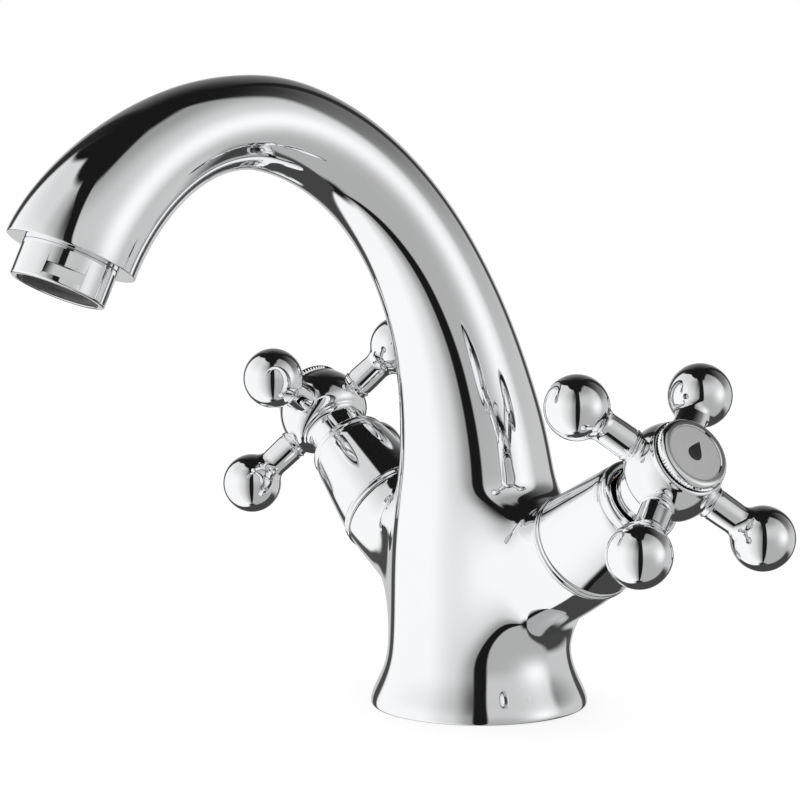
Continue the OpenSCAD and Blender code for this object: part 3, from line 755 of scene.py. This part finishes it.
def is_tooth_gap(point):
    """True for every second point round the plain band."""
    step = round(math.atan2(point.co.y, point.co.x) / math.pi * TEETH)
    return step % 2 == 0 and point.co.xy.length > 8.95 * MM


activate(cap)
bpy.ops.object.mode_set(mode="EDIT")
bpy.ops.mesh.select_mode(type="VERT")
bpy.ops.mesh.select_all(action="DESELECT")
bpy.ops.object.mode_set(mode="OBJECT")
for point in cap.data.vertices:
    point.select = is_tooth_gap(point)
print("points drawn in for the knurl:", sum(point.select for point in cap.data.vertices))
bpy.ops.object.mode_set(mode="EDIT")
bpy.ops.transform.resize(value=(TOOTH_DRAW, TOOTH_DRAW, 1), center_override=(0, 0, 0))
bpy.ops.object.mode_set(mode="OBJECT")
bpy.ops.object.shade_smooth_by_angle(angle=math.radians(25))
for side in SIDE:
    shell = duplicate(cap, f"{side}_cap_shell")
    place(shell, valve_matrix(side))
    dress(shell, chrome, f"{side}_handle")
    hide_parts(f"{side}_cap")
discard(cap)

# %% [markdown]
# ## The index discs
# The disc in each cap is a satin plate with a bevelled edge. It carries a plain enamelled
# water drop, which is a common generic mark on taps. The drop is turned like the other round
# parts, laid down and pressed almost flat.

# %% Make the index discs and their drops
DISC_TOP = 91.4
DROP_FLATNESS = 0.055
disc_outline = [(0, 90.62), (6.85, 90.62), (6.85, 91.25), (6.65, DISC_TOP), (0, DISC_TOP)]
disc = turned("index_disc", disc_outline)
finish_edges(disc, 0.0)
drop_outline = (
    [(0, -2.1)] + arc((0, -0.3), 1.8, -80, 15, 14)
    + [(1.45, 0.95), (0.95, 1.9), (0.5, 2.7), (0.18, 3.3), (0, 3.6)])
drop = turned("drop", drop_outline, steps=32)
finish_edges(drop, 0.0)
for side in SIDE:
    plate = duplicate(disc, f"{side}_index_plate")
    place(plate, valve_matrix(side))
    dress(plate, index_face[side], f"{side}_handle")
    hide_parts(f"{side}_index_disc")
    inlay = duplicate(drop, f"{side}_index_drop")
    flat = Matrix.Diagonal((1, DROP_FLATNESS, 1, 1))
    lie = Matrix.Rotation(math.radians(-90), 4, "X")
    rise = Matrix.Translation((0, 0, DISC_TOP * MM))
    spin = Matrix.Rotation(math.radians(TURN[side] * SIDE[side]), 4, "Z")
    place(inlay, valve_matrix(side) @ rise @ spin @ lie @ flat)
    dress(inlay, enamel, f"{side}_handle")
discard(disc, drop)

# %% [markdown]
# ## The aerator
# The aerator's housing screws into the outlet. Its collar has two small flats for a spanner and
# a rounded lip round the wide mouth that takes the insert.

# %% Turn the aerator housing and mill its flats
housing_outline = (
    [(8.9, -6.2), (10.0, -6.2), (10.0, 0.02), (10.85, 0.02), (11.0, 0.17), (11.0, 7.8)]
    + arc((10.6, 7.9), 0.4, 0, 90, 5) + [(9.75, 8.3), (9.45, 8.1), (9.4, 6.4), (8.9, 6.4)])
housing = turned("aerator_housing_shell", housing_outline, closed=True, steps=128)
FLAT_TURN = 30
FLAT_PLACE = Vector((11.05, 0, 5.5))
FLAT_SIZE = Vector((2.0, 22, 2.6))
flats = []
for half in (0, 180):
    bpy.ops.mesh.primitive_cube_add(size=1, location=FLAT_PLACE * MM)
    tool = bpy.context.object
    tool.scale = FLAT_SIZE * MM
    bpy.ops.object.transform_apply(location=True, scale=True)
    place(tool, Matrix.Rotation(math.radians(FLAT_TURN + half), 4, "Z"))
    flats.append(tool)
cut(housing, flats)
finish_edges(housing, 0.12, angle=40, segments=2)
place(housing, OUTLET)
dress(housing, chrome, "root")
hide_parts("aerator_housing")
print("housing:", len(housing.data.polygons), "faces")

# %% [markdown]
# ## The aerator's insert
# The insert is a plastic tube that is pushed into the housing and closes its mouth. Rings and
# spokes across the tube break the water into a soft stream. The rings are turned like the tube,
# the spokes are flat bars, and all of them are joined into one piece.

# %% Make the aerator's insert
tube_outline = [(7.6, -5.0), (8.82, -5.0), (8.82, 6.5), (9.33, 6.5), (9.33, 7.7), (9.1, 7.95),
                (8.6, 7.95), (8.1, 7.6), (7.6, 7.0)]
insert = turned("aerator_insert_grille", tube_outline, closed=True)
grille = [insert]
for r in (1.9, 3.9, 5.9):
    ring_outline = [(r - 0.4, 4.6), (r + 0.4, 4.6), (r + 0.4, 6.6), (r + 0.2, 6.8),
                    (r - 0.2, 6.8), (r - 0.4, 6.6)]
    grille.append(turned("grille_ring", ring_outline, closed=True, steps=64))
for turn in (0, 60, 120):
    bpy.ops.mesh.primitive_cube_add(size=1, location=(0, 0, 5.2 * MM))
    spoke = bpy.context.object
    spoke.scale = Vector((15.6, 0.7, 1.1)) * MM
    spoke.rotation_euler.z = math.radians(turn)
    bpy.ops.object.transform_apply(location=True, rotation=True, scale=True)
    grille.append(spoke)
clear_selection()
for part in grille:
    part.select_set(True)
bpy.context.view_layer.objects.active = insert
bpy.ops.object.join()
bpy.ops.object.shade_smooth_by_angle(angle=math.radians(40))
place(insert, OUTLET)
dress(insert, grey_acetal, "root")
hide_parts("aerator_insert")
print("insert:", len(insert.data.polygons), "faces")

# %% [markdown]
# ## The pieces inside
# The pieces that the chrome hides keep the working model's own shapes. Each one gets the finish
# of its slot, so that an exploded view of the tap shows real materials.

# %% Dress the hidden pieces
def inner_finish(name):
    """The finish for a piece of the working model, by its name."""
    side, _, kind = name.partition("_")
    if kind in ("cartridge", "spindle"):
        return brass[side]
    if kind in ("fixed_disc", "moving_disc"):
        return ceramic
    if kind in ("circlip", "handle_screw"):
        return steel[side]
    if kind == "thrust_washer":
        return acetal
    if name == "aerator_screen":
        return screen_steel
    return rubber


screen_steel = stainless("stainless_screen", OUTLET, 0.5)
for name, node in frame["nodes"].items():
    node.data.materials.clear()
    node.data.materials.append(inner_finish(name) if not node.hide_render else chrome)
print("hidden pieces:", sum(not node.hide_render for node in frame["nodes"].values()))

# %% [markdown]
# ## The studio
# Polished chrome has no colour of its own: it shows the room. The tap stands, as chrome pieces
# often do, between a large white box on the left and a greyer one on the right, with a narrow
# dark gap at the camera and dark cloth overhead. The world shader draws that room for
# mirror rays, gives plain white light to everything else, and is plain white to the camera.

# %% Camera
camera_data = bpy.data.cameras.new("camera")
camera = bpy.data.objects.new("camera", camera_data)
bpy.context.scene.collection.objects.link(camera)
bpy.context.scene.camera = camera
camera.location = (0.58132, -0.46543, 0.16539)
aim = Vector((-0.01170, -0.01542, 0.07461))
camera.rotation_mode = "QUATERNION"
camera.rotation_quaternion = (aim - camera.location).to_track_quat("-Z", "Y")
camera_data.lens, camera_data.sensor_width = 139.2, 36.0
camera_data.clip_start = 0.01
bpy.context.scene.view_settings.view_transform = "Standard"

# %% [markdown]
# The room is written in two angles: how far round from the camera a ray leaves, and how high.
# Every edge of a box is a smooth step between two angles, so each can be moved by itself. The
# white box on the left gets greyer with height and ends below the cloth, the right one glows in
# one soft spot, and behind the tap a low wall and a dark flag give the chrome its dark edges.

# %% The room that the chrome sees
CAMERA_TURN = math.radians(52.8)
GAP_EDGE = (6.4, 9.8)
world = bpy.data.worlds.new("studio")
bpy.context.scene.world = world
room = Finish(world)
toward = room.node("ShaderNodeTexCoord").outputs["Generated"]


def along(direction):
    """How far a ray points along a direction, from -1 to 1."""
    node = room.node("ShaderNodeVectorMath", {"operation": "DOT_PRODUCT"}, {0: toward, 1: direction})
    return Value(room, node.outputs["Value"])


front = along((math.sin(CAMERA_TURN), -math.cos(CAMERA_TURN), 0))
right = along((math.cos(CAMERA_TURN), math.sin(CAMERA_TURN), 0))
up = along((0, 0, 1))
round_angle = right.math("ARCTAN2", right, front) * (180 / math.pi)
height = up.math("ARCSINE", up) * (180 / math.pi)
away = round_angle.math("ABSOLUTE", round_angle)
is_right = round_angle.step(-1, 1)



def by_side(left, right):
    """One value on the left of the camera and another on its right."""
    return left + is_right * (right - left)


left_box = (0.30 + round_angle.step(-8, -34) * 0.40 + round_angle.step(-24, -70) * 0.30
            - height.step(10, 56) * 0.30)
spot = ((round_angle - 72) * 0.045) ** 2 + ((height - 4) * 0.05) ** 2
glow = spot.math("EXPONENT", spot * -1.0)
right_box = (0.44 + glow * 0.54 + round_angle.step(100, 135) * 0.16
             + height.step(-6, 26) * 0.16 - height.step(34, 66) * 0.28)
left_gap = (away - height.step(48, 76) * 30).step(*GAP_EDGE)
gap = by_side(left_gap, away.step(*GAP_EDGE))
left_top = (height + away.step(100, 150) * 28).step(65, 69)
right_top = (height - away.step(8, 55) * 13).step(57, 64)
top = 1 - by_side(left_top, right_top)
edge_of_box = by_side(138, 92)
behind = (away - edge_of_box).step(-4, 8)
wall_light = (1 - height.step(2, 26)) * 0.34 + (1 - height.step(8, 66)) * 0.24
low_wall = wall_light * height.step(-34, -20)
flag = 1 - away.step(138, 143) * (1 - away.step(154, 160)) * 0.9
bottom = height.step(-86, -78)
sides = by_side(left_box, right_box) * (1 - behind) * top + low_wall * behind
mirror = sides * gap * flag * bottom + 0.010 + (1 - height.step(-40, -10)) * behind * 0.05
path = room.node("ShaderNodeLightPath")
glossy = Value(room, path.outputs["Is Glossy Ray"])
seen = Value(room, path.outputs["Is Camera Ray"])
plain = 0.95 + seen * 0.05
strength = plain + glossy * (mirror - plain)
light = room.node("ShaderNodeBackground", None, {"Color": (1, 1, 1, 1), "Strength": strength})
room.node("ShaderNodeOutputWorld", None, {"Surface": light.outputs[0]})

# %% [markdown]
# ## The floor
# The floor is a plain white sweep. It adds just enough light of its own, for the camera only,
# to reach the white of the background, and it keeps the soft shadow under the tap.

# %% Floor
clear_selection()
bpy.ops.mesh.primitive_plane_add(size=12.0, location=(0, 0, 0))
floor = bpy.context.object
floor.name = floor.data.name = "floor"
floor.visible_glossy = False
material, bench = new_finish("white_floor")
camera_only = Value(bench, bench.node("ShaderNodeLightPath").outputs["Is Camera Ray"])
glow_color = bench.blend(camera_only, (0, 0, 0), (1, 1, 1))
bench.surface((0.5, 0.5, 0.5, 1), 1.0, 0.0, None, **{
    "Specular IOR Level": 0.0, "Emission Color": glow_color, "Emission Strength": 0.62})
floor.data.materials.append(material)
